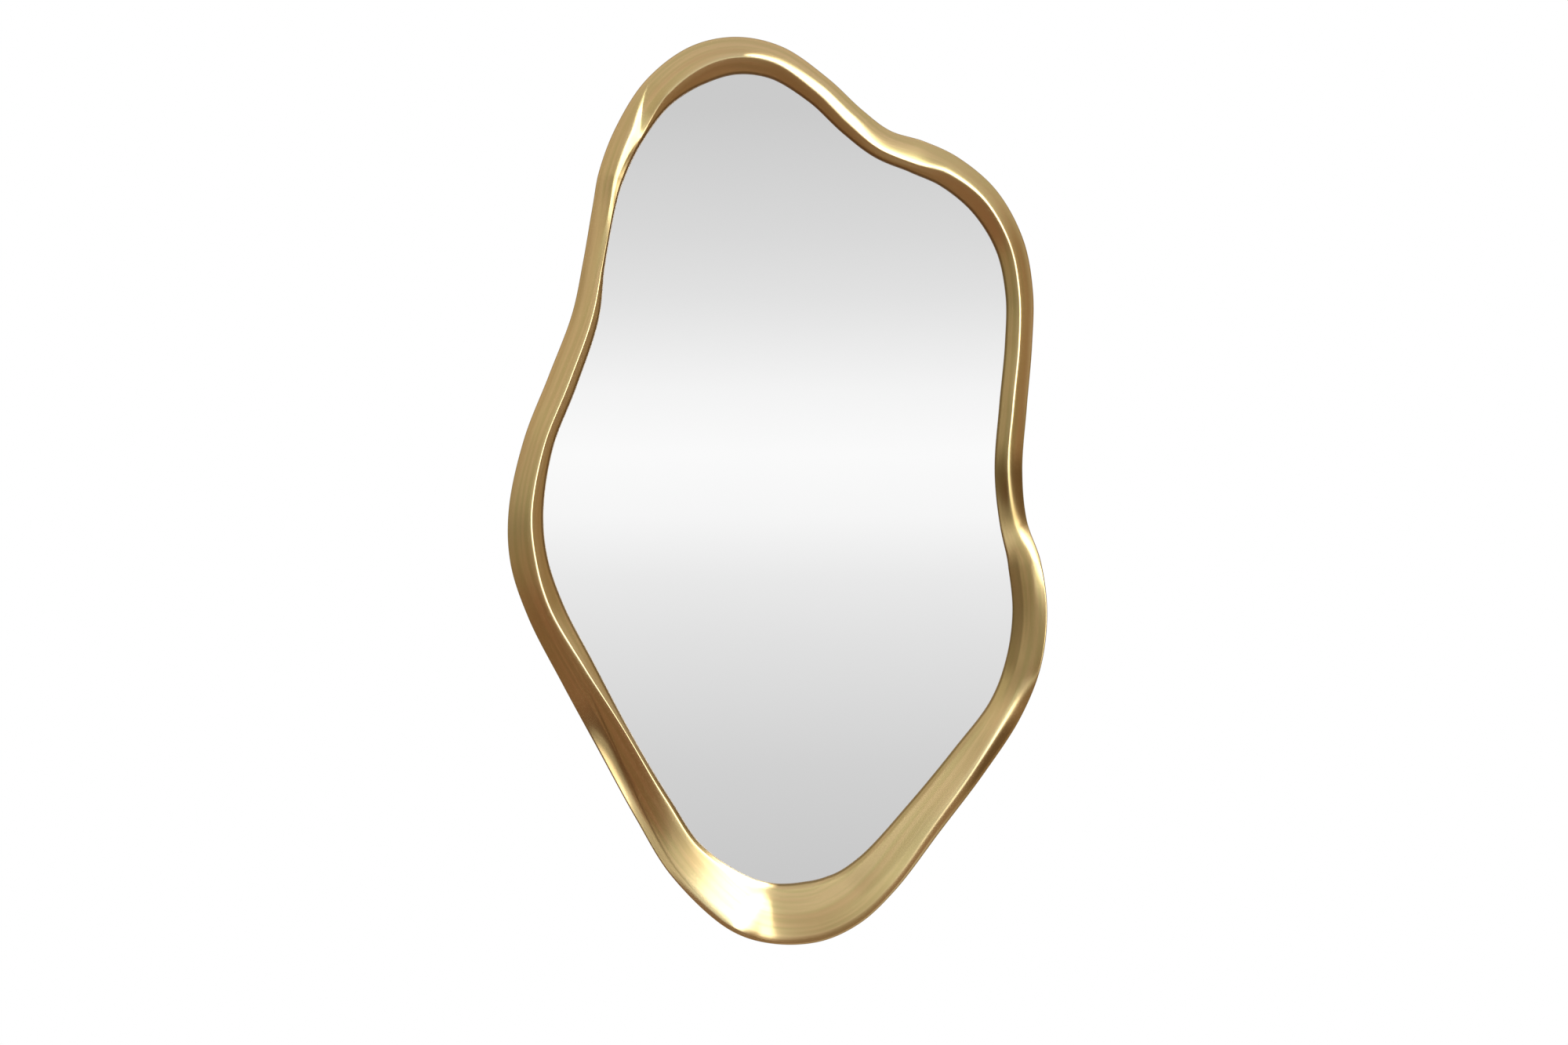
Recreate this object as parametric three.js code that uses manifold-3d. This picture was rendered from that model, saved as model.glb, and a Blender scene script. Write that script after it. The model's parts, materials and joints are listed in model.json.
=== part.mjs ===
// Irregular wall mirror: one plain mirror plate in a freeform, hand-carved looking metal frame.
//
// The frame is a closed loft round the loop. Every station of the loop carries one section:
// a relief face in front, a lip that holds the plate, a rabbet for plate and foam, a ledge for the
// backing board, and a cored channel behind. The relief is the sum of a sloping face and two
// wandering ridges, so ridges can start at one edge, cross the band and die out at the other.
//
// Millimetres, +Z up. The mirror faces -Y and hangs on a wall in the plane Y = 0. The origin lies
// on the wall, at the height of the two hanging loops, midway between them.

import * as THREE from "three";
import { mergeVertices } from "three/addons/utils/BufferGeometryUtils.js";
import Module from "manifold-3d";

const wasm = await Module();
wasm.setup();

// ---------------------------------------------------------------- driving dimensions

// overall size of the frame, and the two sizes that set how bold its band is
const OVERALL_WIDTH = 603;
const OVERALL_HEIGHT = 1016;
const WIDEST_BAND = 69; // outer edge to glass edge, at the bottom of the frame
const HIGHEST_RIDGE = 10.5; // above the sloping face

// Stations of the frame as drawn, clockwise from the top as the viewer sees it. Each has
// the outer edge's x and z from the middle of the outline, the width of the band there, how far
// the rim is raised, the outer ridge's place across the band (0 outer edge, 1 glass edge) and its
// rise, the inner ridge's place and rise, and how much the whole face bows out. A negative rise is
// a valley, and a negative bow hollows the face.
// The outline is stretched to the overall size, the widest band and the highest ridge to theirs.
const STATIONS = [
  [-47, 508, 42, 0, 0.25, 0, 0.6, 10.5, 1],
  [5, 497, 38, 0, 0.3, 1, 0.58, 9, 0.6],
  [56, 462, 34, 0, 0.3, 3, 0.67, 7.5, 0],
  [95, 426, 34, 0, 0.3, 3, 0.72, 7.5, 0],
  [126, 403, 34.5, 0, 0.3, 1, 0.76, 9.5, -0.6],
  [164, 391, 38, 0, 0.3, 0, 0.77, 9.5, -0.8],
  [202, 373, 37.5, 0, 0.25, 0, 0.62, 10, 0],
  [245, 336, 36.5, 0, 0.25, 0, 0.54, 10.5, 0.4],
  [275, 281, 33, 0, 0.25, 0, 0.55, 10, 0.6],
  [286, 222, 31, 0, 0.25, 0, 0.57, 9.5, 0.6],
  [285, 163, 30.5, 0, 0.25, 0, 0.54, 9, 0.6],
  [279, 92, 31, 0, 0.22, 0, 0.56, 8.5, 0.6],
  [274, 22, 31, 0, 0.3, 0, 0.55, 5, 0.6],
  [279, -34, 30.5, 1.2, 0.3, 0, 0.45, 2, 0.4],
  [294, -79, 36.5, 7, 0.3, 0, 0.3, 2.2, 0.2],
  [301, -136, 38, 11, 0.3, 0, 0.5, 0.8, 0],
  [294, -197, 39, 11, 0.4, 0, 0.7, 0.8, 0],
  [272, -254, 38.5, 4, 0.43, 3.4, 0.82, 0.5, 0],
  [232, -316, 43.5, 1, 0.28, 5.4, 0.88, 0.8, 0.2],
  [183, -381, 47, 0, 0.17, 5.4, 0.9, 1.2, 0.4],
  [131, -449, 55, 0, 0.07, 4.3, 0.92, 1.5, 0.6],
  [91, -486, 64, 0, 0.055, 3.6, 0.93, 1.6, 0.6],
  [46, -506, 69, 0, 0.05, 3.4, 0.93, 1.8, 0.6],
  [-11, -507, 67, 2.5, 0.055, 2.8, 0.93, 1.6, 0],
  [-56, -490, 63, 10, 0.1, 2.4, 0.92, 0.8, 0],
  [-119, -431, 48, 7, 0.19, 0.3, 0.92, 1.2, 0],
  [-159, -367, 44, 1.5, 0.27, -1.8, 0.92, 3, 0],
  [-200, -292, 41, 1.5, 0.45, -5.8, 0.92, 7.5, 0],
  [-242, -215, 42, 0, 0.55, -0.5, 0.76, 8.5, 0.2],
  [-279, -143, 42, 0, 0.34, 0, 0.66, 9.5, 0.4],
  [-299, -82, 42, 0, 0.34, 0, 0.72, 10, 0.4],
  [-301, -22, 39, 0, 0.34, 0, 0.71, 10, 0.4],
  [-284, 57, 34, 0, 0.34, 0, 0.75, 9, 0.4],
  [-256, 129, 33.5, 0, 0.34, 0, 0.77, 8.5, 0.4],
  [-230, 198, 30.5, 0, 0.4, 0, 0.8, 7.5, 0.4],
  [-218, 255, 25, 0, 0.6, 0.5, 0.92, 3, 0.4],
  [-207, 319, 25.5, 0, 0.74, 1.5, 0.95, 0.8, 0],
  [-200, 357, 29.5, 0, 0.62, 2.2, 0.95, 0.8, 0],
  [-181, 407, 34, 0, 0.52, 4, 0.93, 1.5, 0],
  [-147, 460, 39.5, 0, 0.3, 1.2, 0.78, 6, 0.4],
  [-98, 497, 44.5, 0, 0.14, 0, 0.66, 9.5, 0.8],
];

const STEPS_PER_STATION = 3; // loft sections from one station to the next

// frame section
const RIM_HEIGHT = 12; // lowest outer edge of the relief, above the frame's back plane
const EDGE_BREAK = 1.2; // small chamfer on the outer edge
const ARRIS_BREAK = 0.6; // smaller chamfer at the glass edge
const SIDE_DRAFT = 1; // the outer wall leans in by this much at the back
const LIP_THICKNESS = 3; // metal in front of the plate at the glass edge
const LIP_OVERLAP = 6; // how far the lip covers the plate
const LEDGE_WIDTH = 6; // ledge round the plate that the backing board is screwed to
const RIDGE_SOFTNESS = 0.2; // how round the ridges are: 0 would be a knife edge
const CROWN = 0.7; // how much a ridge's outer flank swells, 0 for a plain slope
const HOLLOW = 0.3; // how much its inner flank sags

// cored channel behind the relief
const OUTER_WALL = 4;
const INNER_WALL = 4;
const FACE_WALL = 5;
const CORE_DRAFT = 1;
const CORE_FULL_WIDTH = 14; // the channel reaches its full depth where it is this wide
const PAD_LENGTH = 26; // the channel is filled over this length at each cast pad
const PAD_FADE = 18; // and runs out to its full depth over this length

// plate, foam, tape and board
const GLASS_THICKNESS = 4;
const TAPE_THICKNESS = 0.75;
const TAPE_WIDTH = 4;
const FOAM_THICKNESS = 2;
const BOARD_THICKNESS = 4.5;
const SEAT_GAP = 0.25; // between parts that lie on each other
const EDGE_CLEARANCE = 1; // round the edges of plate, foam and board

// fasteners
const BOARD_SCREW_COUNT = 14;
const BOARD_SCREW_PHASE = 0.5; // first screw, as a share of the pitch past the top station
const BOARD_SCREW_GRIP = 6; // thread in the frame
const HANGER_SCREW_GRIP = 7;
const SCREW_RADIUS = 1.4;
const SCREW_HEAD_RADIUS = 3;
const SCREW_HEAD_HEIGHT = 1.8;
const HOLE_CLEARANCE = 0.3; // round a screw's shank and past its point

// hanging loops
const HANGER_HEIGHT = 207; // hinge line above the middle of the outline
const STRAP_WIDTH = 10;
const STRAP_THICKNESS = 1;
const STRAP_END = 6; // from the lower screw to the strap's round end
const STRAP_SCREW_PITCH = 11.5;
const STRAP_WRAP = THREE.MathUtils.degToRad(285); // how far the eye is rolled round the bar
const RING_TO_SCREW = 1.3; // from the hanging ring down to the upper screw's head
const RING_WIRE_RADIUS = 1.2;
const RING_PLAY = 0.35; // round the ring's bar in the eye
const RING_HALF_WIDTH = 10; // middle of the bar to the middle of an arm's wire
const RING_ARM = 2.5; // straight part of an arm
const RING_CORNER = 2.5; // bend between bar and arm
const RING_TO_EDGE = 2; // from the ring's side to the frame's outer edge
const RING_SIDES = 8; // facets round the wire

// wall bumpers
const BUMPER_RADIUS = 6;
const BUMPER_FACE_RADIUS = 4.5;
const STANDOFF = 6; // frame's back plane to the wall
const BUMPER_STATIONS = { upper_left: 38.4, upper_right: 6.4, lower_right: 18.4, lower_left: 26.6 };

// ---------------------------------------------------------------- sizes that follow

const BOARD_BACK = SEAT_GAP;
const LEDGE_HEIGHT = BOARD_BACK + BOARD_THICKNESS + SEAT_GAP;
const FOAM_BACK = LEDGE_HEIGHT;
const GLASS_BACK = FOAM_BACK + FOAM_THICKNESS + SEAT_GAP;
const TAPE_BACK = GLASS_BACK + GLASS_THICKNESS + SEAT_GAP;
const LIP_BACK = TAPE_BACK + TAPE_THICKNESS + SEAT_GAP;
const LIP_FRONT = LIP_BACK + LIP_THICKNESS;

const RABBET = LIP_OVERLAP + EDGE_CLEARANCE; // glass edge to the rabbet's wall
const REBATE = RABBET + LEDGE_WIDTH; // glass edge to the board recess's wall
const SCREW_HOLE_RADIUS = SCREW_RADIUS + HOLE_CLEARANCE;

const RING_DROP = RING_CORNER + RING_ARM + RING_HALF_WIDTH + RING_WIRE_RADIUS; // hinge line to its foot
const UPPER_SCREW_DROP = RING_DROP + RING_TO_SCREW + SCREW_HEAD_RADIUS;
const STRAP_SCREW_DROPS = [UPPER_SCREW_DROP, UPPER_SCREW_DROP + STRAP_SCREW_PITCH];
const STRAP_LENGTH = STRAP_SCREW_DROPS[1] + STRAP_END;
const HANGER_INSET = RING_HALF_WIDTH + RING_WIRE_RADIUS + RING_TO_EDGE;

const EYE_INNER = RING_WIRE_RADIUS + RING_PLAY;
const EYE_OUTER = EYE_INNER + STRAP_THICKNESS;
const HINGE_HEIGHT = SEAT_GAP + EYE_OUTER; // hinge line behind the frame's back plane

// ---------------------------------------------------------------- the loop

const LOOP_STEPS = STATIONS.length * STEPS_PER_STATION;

const drawnOutline = new THREE.CatmullRomCurve3(
  STATIONS.map(([x, z]) => new THREE.Vector3(x, 0, z)),
  true,
  "centripetal",
);
const drawnBox = new THREE.Box3().setFromPoints(drawnOutline.getPoints(LOOP_STEPS));
const drawnSize = drawnBox.getSize(new THREE.Vector3());
const outlineStretch = new THREE.Vector3(OVERALL_WIDTH / drawnSize.x, 1, OVERALL_HEIGHT / drawnSize.z);
const bandStretch = WIDEST_BAND / Math.max(...STATIONS.map(([, , width]) => width));
const reliefStretch = HIGHEST_RIDGE / Math.max(...STATIONS.map(([, , , , , , , rise]) => rise));

/** Value of one column of STATIONS at a fractional station, on a smooth closed curve. */
function columnAt(column, position) {
  const count = STATIONS.length;
  const index = Math.floor(position);
  const t = position - index;
  const value = (offset) => STATIONS[(index + offset + count) % count][column];
  const startSlope = (value(1) - value(-1)) / 2;
  const endSlope = (value(2) - value(0)) / 2;
  const t2 = t * t;
  const t3 = t2 * t;
  return (2 * t3 - 3 * t2 + 1) * value(0) + (t3 - 2 * t2 + t) * startSlope
    + (3 * t2 - 2 * t3) * value(1) + (t3 - t2) * endSlope;
}

/** Everything that one place on the loop needs: edge point, inward direction, band and ridges. */
function stationAt(position) {
  const wrapped = THREE.MathUtils.euclideanModulo(position, STATIONS.length);
  const along = wrapped / STATIONS.length;
  const edge = drawnOutline.getPoint(along).multiply(outlineStretch);
  const tangent = drawnOutline.getTangent(along).multiply(outlineStretch);
  return {
    position: wrapped,
    edge,
    inward: new THREE.Vector3(tangent.z, 0, -tangent.x).normalize(),
    width: columnAt(2, wrapped) * bandStretch,
    rim: RIM_HEIGHT + columnAt(3, wrapped) * reliefStretch,
    outerRidge: { place: columnAt(4, wrapped), rise: columnAt(5, wrapped) * reliefStretch },
    innerRidge: { place: columnAt(6, wrapped), rise: columnAt(7, wrapped) * reliefStretch },
    bow: columnAt(8, wrapped) * reliefStretch,
  };
}

const loop = [];
for (let step = 0; step < LOOP_STEPS; step++) {
  loop.push(stationAt(step / STEPS_PER_STATION));
}

/** Point of the section at a station: across the band from its outer edge, and forward. */
function sectionPoint(station, across, forward) {
  const point = station.edge.clone().addScaledVector(station.inward, across);
  point.y = -forward;
  return point;
}

/** Closed outline at a constant distance outside the glass edge, as points of the XZ plane. */
function loopOutside(distance) {
  return loop.map((station) => {
    const point = sectionPoint(station, station.width - distance, 0);
    return new THREE.Vector2(point.x, point.z);
  });
}

// length along the loop, so that fasteners and pads can be spaced in millimetres
const loopLengths = [0];
loop.forEach((station, index) => {
  const next = loop[(index + 1) % loop.length];
  loopLengths.push(loopLengths[index] + station.edge.distanceTo(next.edge));
});
const loopLength = loopLengths[loop.length];

/** Length along the loop at a fractional station. */
function lengthAt(position) {
  const step = THREE.MathUtils.euclideanModulo(position, STATIONS.length) * STEPS_PER_STATION;
  const index = Math.floor(step);
  return THREE.MathUtils.lerp(loopLengths[index], loopLengths[index + 1], step - index);
}

/** Fractional station at a length along the loop. */
function positionAt(length) {
  const wanted = THREE.MathUtils.euclideanModulo(length, loopLength);
  const index = loopLengths.findIndex((end) => end > wanted) - 1;
  const share = (wanted - loopLengths[index]) / (loopLengths[index + 1] - loopLengths[index]);
  return (index + share) / STEPS_PER_STATION;
}

// ---------------------------------------------------------------- the relief

/** A soft tent over the band: 0 at both edges, about 1 at its ridge, swelling outside it. */
function tent(across, ridge) {
  const bent = (flank, amount) => flank + amount * flank * Math.max(1 - flank, 0);
  const up = bent(across / ridge, CROWN);
  const down = bent((1 - across) / (1 - ridge), -HOLLOW);
  return (up + down - Math.hypot(up - down, RIDGE_SOFTNESS)) / 2;
}

/** Height of the relief above the back plane, at a share of the band from its outer edge. */
function reliefHeight(station, share) {
  const { rim, outerRidge, innerRidge, bow } = station;
  return THREE.MathUtils.lerp(rim, LIP_FRONT, share)
    + outerRidge.rise * tent(share, outerRidge.place)
    + innerRidge.rise * tent(share, innerRidge.place)
    + bow * Math.sin(Math.PI * share);
}

/** Shares of the band at which the relief is sampled, so that both ridges fall on an edge. */
function reliefShares(station) {
  const { width, outerRidge, innerRidge } = station;
  const stops = [EDGE_BREAK / width, outerRidge.place, innerRidge.place, 1 - ARRIS_BREAK / width];
  const shares = [];
  for (let stop = 0; stop + 1 < stops.length; stop++) {
    for (let part = 0; part < 3; part++) {
      shares.push(THREE.MathUtils.lerp(stops[stop], stops[stop + 1], part / 3));
    }
  }
  shares.push(stops[stops.length - 1]);
  return shares;
}

// ---------------------------------------------------------------- cast pads and hangers

/** Middle of the frame's flat back band, between the outer wall and the board recess. */
function landMiddle(station) {
  return (SIDE_DRAFT + station.width - REBATE) / 2;
}

/** Point of the flat back at a distance in from the outer edge, at a fractional station. */
function backPoint(position, inset) {
  return sectionPoint(stationAt(position), inset, 0);
}

/** Fractional station on the left (side -1) or right (side 1) where such a point is this high. */
function positionAtHeight(side, height, inset) {
  const pitch = 1 / STEPS_PER_STATION;
  const rise = (position) => backPoint(position, inset).z - height;
  const start = loop.map(({ position }) => position).find((position) => {
    return backPoint(position, inset).x * side > 0 && rise(position) * rise(position + pitch) <= 0;
  });
  return start + pitch * rise(start) / (rise(start) - rise(start + pitch));
}

/** A hanger follows the band: its hinge point, and the turn of its strap away from plumb. */
function hangerOn(side, name) {
  const start = positionAtHeight(side, HANGER_HEIGHT, HANGER_INSET);
  const length = lengthAt(start) + side * STRAP_LENGTH;
  const hinge = backPoint(start, HANGER_INSET).setZ(HANGER_HEIGHT);
  const down = backPoint(positionAt(length), HANGER_INSET).sub(hinge).normalize();
  const padMiddle = lengthAt(start) + side * (STRAP_SCREW_DROPS[0] + STRAP_SCREW_DROPS[1]) / 2;
  return { name, hinge, down, lean: Math.atan2(down.x, -down.z), padMiddle };
}

const hangers = [hangerOn(-1, "left"), hangerOn(1, "right")];
const bumpers = Object.entries(BUMPER_STATIONS).map(([corner, position]) => {
  const seat = stationAt(position);
  return { corner, seat, centre: sectionPoint(seat, landMiddle(seat), 0) };
});
const padLengths = [
  ...hangers.map(({ padMiddle }) => padMiddle),
  ...bumpers.map(({ seat }) => lengthAt(seat.position)),
];

/** Depth of the cored channel: none in the narrow parts of the band and at the cast pads. */
function coreDepth(station, coreOuter, coreInner) {
  const samples = [0, 0.25, 0.5, 0.75, 1].map((part) => {
    return reliefHeight(station, THREE.MathUtils.lerp(coreOuter, coreInner, part) / station.width);
  });
  const fullDepth = Math.max(0, Math.min(...samples) - FACE_WALL);
  const room = THREE.MathUtils.smoothstep(coreInner - coreOuter, CORE_FULL_WIDTH / 2, CORE_FULL_WIDTH);
  const here = lengthAt(station.position);
  const clear = padLengths.map((pad) => {
    const apart = Math.abs(here - pad);
    const distance = Math.min(apart, loopLength - apart);
    return THREE.MathUtils.smoothstep(distance, PAD_LENGTH / 2, PAD_LENGTH / 2 + PAD_FADE);
  });
  return fullDepth * room * Math.min(...clear);
}

// ---------------------------------------------------------------- solids

/** Closed ring-shaped surface through equal closed sections, the last joined to the first. */
function closedLoft(sections) {
  const size = sections[0].length;
  const positions = sections.flat().flatMap((point) => [point.x, point.y, point.z]);
  const indices = [];
  for (let ring = 0; ring < sections.length; ring++) {
    const nextRing = (ring + 1) % sections.length;
    for (let corner = 0; corner < size; corner++) {
      const nextCorner = (corner + 1) % size;
      const here = ring * size + corner;
      const beside = ring * size + nextCorner;
      const ahead = nextRing * size + corner;
      const across = nextRing * size + nextCorner;
      indices.push(here, beside, across, here, across, ahead);
    }
  }
  const geometry = new THREE.BufferGeometry();
  geometry.setAttribute("position", new THREE.Float32BufferAttribute(positions, 3));
  geometry.setIndex(indices);
  return geometry;
}

/** Plate with a closed outline in the XZ plane, from a height above the back plane forward. */
function plate(points, back, thickness, holePoints = []) {
  const shape = new THREE.Shape(points);
  if (holePoints.length > 0) {
    shape.holes.push(new THREE.Path(holePoints.toReversed())); // a hole runs the other way round
  }
  const geometry = new THREE.ExtrudeGeometry(shape, { depth: thickness, bevelEnabled: false });
  geometry.rotateX(Math.PI / 2);
  geometry.translate(0, -back, 0);
  return geometry;
}

/** Round solid about the Y axis from a profile of [radius, y] points that ends on the axis. */
function turned(profile, segments) {
  return new THREE.LatheGeometry(profile.map(([radius, y]) => new THREE.Vector2(radius, y)), segments);
}

/** Round cutter along Y, at a point of the XZ plane, between two heights above the back plane. */
function boreCutter(point, radius, from, to) {
  const cutter = new THREE.CylinderGeometry(radius, radius, to - from, 12);
  cutter.translate(point.x, -(from + to) / 2, point.z);
  return cutter;
}

/** The exact solid of a closed geometry, for cutting. */
function toSolid(geometry) {
  const bare = geometry.clone();
  bare.deleteAttribute("normal");
  bare.deleteAttribute("uv");
  const merged = mergeVertices(bare, 1e-4);
  const vertProperties = Float32Array.from(merged.attributes.position.array);
  const triVerts = Uint32Array.from(merged.index.array);
  return new wasm.Manifold(new wasm.Mesh({ numProp: 3, vertProperties, triVerts }));
}

/** Back from an exact solid to a geometry. */
function toGeometry(solid) {
  const mesh = solid.getMesh();
  const geometry = new THREE.BufferGeometry();
  geometry.setAttribute("position", new THREE.BufferAttribute(mesh.vertProperties, 3));
  geometry.setIndex(new THREE.BufferAttribute(mesh.triVerts, 1));
  return geometry;
}

/** A geometry with bores cut in it. */
function bored(geometry, cutters) {
  const cut = cutters.reduce((solid, cutter) => solid.subtract(toSolid(cutter)), toSolid(geometry));
  return toGeometry(cut);
}

// ---------------------------------------------------------------- materials

const finishes = {
  brass: { color: 0xb79a5e, roughness: 0.38, metalness: 1 },
  mirror: { color: 0xe9ecee, roughness: 0.03, metalness: 1 },
  tape: { color: 0x2b2b2b, roughness: 0.9, metalness: 0 },
  foam: { color: 0xe8e8e4, roughness: 0.95, metalness: 0 },
  board: { color: 0x8a6a48, roughness: 0.85, metalness: 0 },
  zinc: { color: 0xb9bcc0, roughness: 0.35, metalness: 1 },
  rubber: { color: 0x222222, roughness: 0.8, metalness: 0 },
};

const mirror = new THREE.Group();

/** Adds one named piece to the mirror and returns it. */
function addPiece(name, geometry, finish, place = new THREE.Vector3()) {
  const material = new THREE.MeshStandardMaterial({ ...finishes[finish], flatShading: true });
  const piece = new THREE.Mesh(geometry, material);
  piece.name = name;
  piece.position.copy(place);
  mirror.add(piece);
  return piece;
}

// ---------------------------------------------------------------- fastener places

const boardScrewPlaces = [];
for (let index = 0; index < BOARD_SCREW_COUNT; index++) {
  const length = (index + BOARD_SCREW_PHASE) * loopLength / BOARD_SCREW_COUNT;
  const seat = stationAt(positionAt(length));
  boardScrewPlaces.push(sectionPoint(seat, seat.width - RABBET - LEDGE_WIDTH / 2, 0));
}

const hangerScrews = hangers.flatMap(({ name, hinge, down }) => {
  return STRAP_SCREW_DROPS.map((drop, index) => ({
    name: `hanger_screw_${name}_${index === 0 ? "upper" : "lower"}`,
    point: hinge.clone().addScaledVector(down, drop),
  }));
});

// ---------------------------------------------------------------- frame

/** One closed section of the frame, from the outer back corner over the front and back. */
function frameSection(station) {
  const { width } = station;
  const coreOuter = OUTER_WALL + SIDE_DRAFT;
  const coreInner = Math.max(width - REBATE - INNER_WALL, coreOuter + 3 * CORE_DRAFT);
  const depth = coreDepth(station, coreOuter, coreInner);
  const profile = [
    [SIDE_DRAFT, 0],
    [0, reliefHeight(station, 0) - EDGE_BREAK],
    ...reliefShares(station).map((share) => [share * width, reliefHeight(station, share)]),
    [width, reliefHeight(station, 1) - ARRIS_BREAK],
    [width, LIP_BACK],
    [width - RABBET, LIP_BACK],
    [width - RABBET, LEDGE_HEIGHT],
    [width - REBATE, LEDGE_HEIGHT],
    [width - REBATE, 0],
    [coreInner, 0],
    [coreInner - CORE_DRAFT, depth],
    [coreOuter + CORE_DRAFT, depth],
    [coreOuter, 0],
  ];
  return profile.map(([across, forward]) => sectionPoint(station, across, forward));
}

function makeFrame() {
  const boardBores = boardScrewPlaces.map((point) => {
    return boreCutter(point, SCREW_HOLE_RADIUS, 0, LEDGE_HEIGHT + BOARD_SCREW_GRIP + HOLE_CLEARANCE);
  });
  const hangerBores = hangerScrews.map(({ point }) => {
    return boreCutter(point, SCREW_HOLE_RADIUS, -1, HANGER_SCREW_GRIP + HOLE_CLEARANCE);
  });
  addPiece("frame", bored(closedLoft(loop.map(frameSection)), [...boardBores, ...hangerBores]), "brass");
}

// ---------------------------------------------------------------- mirror plate and its backing

function makeGlassStack() {
  const plateOutline = loopOutside(LIP_OVERLAP);
  const tapeOutline = loopOutside(LIP_OVERLAP - EDGE_CLEARANCE);
  const tapeInside = loopOutside(LIP_OVERLAP - EDGE_CLEARANCE - TAPE_WIDTH);
  addPiece("glazing_tape", plate(tapeOutline, TAPE_BACK, TAPE_THICKNESS, tapeInside), "tape");
  addPiece("mirror_glass", plate(plateOutline, GLASS_BACK, GLASS_THICKNESS), "mirror");
  addPiece("foam_sheet", plate(plateOutline, FOAM_BACK, FOAM_THICKNESS), "foam");
}

function makeBackingBoard() {
  const board = plate(loopOutside(REBATE - EDGE_CLEARANCE), BOARD_BACK, BOARD_THICKNESS);
  const bores = boardScrewPlaces.map((point) => {
    return boreCutter(point, SCREW_HOLE_RADIUS, BOARD_BACK - 1, LEDGE_HEIGHT + 1);
  });
  addPiece("backing_board", bored(board, bores), "board");
}

// ---------------------------------------------------------------- screws

/** Pan-head screw along Y with its head's seat at Y = 0 and its point forward. */
function screwGeometry(length) {
  const profile = [
    [0, -length],
    [SCREW_RADIUS, -length + SCREW_RADIUS],
    [SCREW_RADIUS, 0],
    [SCREW_HEAD_RADIUS, 0],
    [SCREW_HEAD_RADIUS, SCREW_HEAD_HEIGHT * 0.45],
    [SCREW_HEAD_RADIUS * 0.72, SCREW_HEAD_HEIGHT * 0.9],
    [0, SCREW_HEAD_HEIGHT],
  ];
  return turned(profile, 12);
}

function makeScrews() {
  const boardSeat = SEAT_GAP - BOARD_BACK;
  const boardScrewLength = boardSeat + LEDGE_HEIGHT + BOARD_SCREW_GRIP;
  boardScrewPlaces.forEach((point, index) => {
    const name = `backing_screw_${String(index + 1).padStart(2, "0")}`;
    const place = new THREE.Vector3(point.x, boardSeat, point.z);
    addPiece(name, screwGeometry(boardScrewLength), "zinc", place);
  });
  const strapSeat = SEAT_GAP + STRAP_THICKNESS + SEAT_GAP;
  hangerScrews.forEach(({ name, point }) => {
    const place = new THREE.Vector3(point.x, strapSeat, point.z);
    addPiece(name, screwGeometry(strapSeat + HANGER_SCREW_GRIP), "zinc", place);
  });
}

// ---------------------------------------------------------------- hanging loops

/** Strap with a rolled eye: its side profile carried across, trimmed to a round-ended outline. */
function strapGeometry() {
  const wrapSteps = 20;
  const arc = (radius, turn) => {
    return new THREE.Vector2(EYE_OUTER - radius * Math.cos(turn), radius * Math.sin(turn));
  };
  const turns = Array.from({ length: wrapSteps + 1 }, (_, step) => STRAP_WRAP * step / wrapSteps);
  const profile = [
    new THREE.Vector2(0, -STRAP_LENGTH),
    ...turns.map((turn) => arc(EYE_OUTER, turn)),
    ...turns.reverse().map((turn) => arc(EYE_INNER, turn)),
    new THREE.Vector2(STRAP_THICKNESS, -STRAP_LENGTH),
  ];
  const side = new THREE.Shape(profile);
  const band = new THREE.ExtrudeGeometry(side, { depth: STRAP_WIDTH, bevelEnabled: false });
  band.rotateX(Math.PI / 2);
  band.rotateZ(Math.PI / 2);
  band.translate(-STRAP_WIDTH / 2, SEAT_GAP, 0);

  const endRadius = STRAP_WIDTH / 2;
  const trim = new THREE.Shape();
  trim.moveTo(endRadius, -STRAP_LENGTH + endRadius);
  trim.lineTo(endRadius, 2 * EYE_OUTER);
  trim.lineTo(-endRadius, 2 * EYE_OUTER);
  trim.lineTo(-endRadius, -STRAP_LENGTH + endRadius);
  trim.absarc(0, -STRAP_LENGTH + endRadius, endRadius, Math.PI, 2 * Math.PI, false);
  const trimDepth = { depth: 4 * EYE_OUTER, bevelEnabled: false, curveSegments: 14 };
  const trimmer = new THREE.ExtrudeGeometry(trim, trimDepth);
  trimmer.rotateX(Math.PI / 2);
  trimmer.translate(0, 3 * EYE_OUTER, 0);

  const bores = STRAP_SCREW_DROPS.map((drop) => {
    const point = new THREE.Vector3(0, 0, -drop);
    return boreCutter(point, SCREW_HOLE_RADIUS, -2 * STRAP_THICKNESS - 1, 1);
  });
  return bored(toGeometry(toSolid(band).intersect(toSolid(trimmer))), bores);
}

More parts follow.
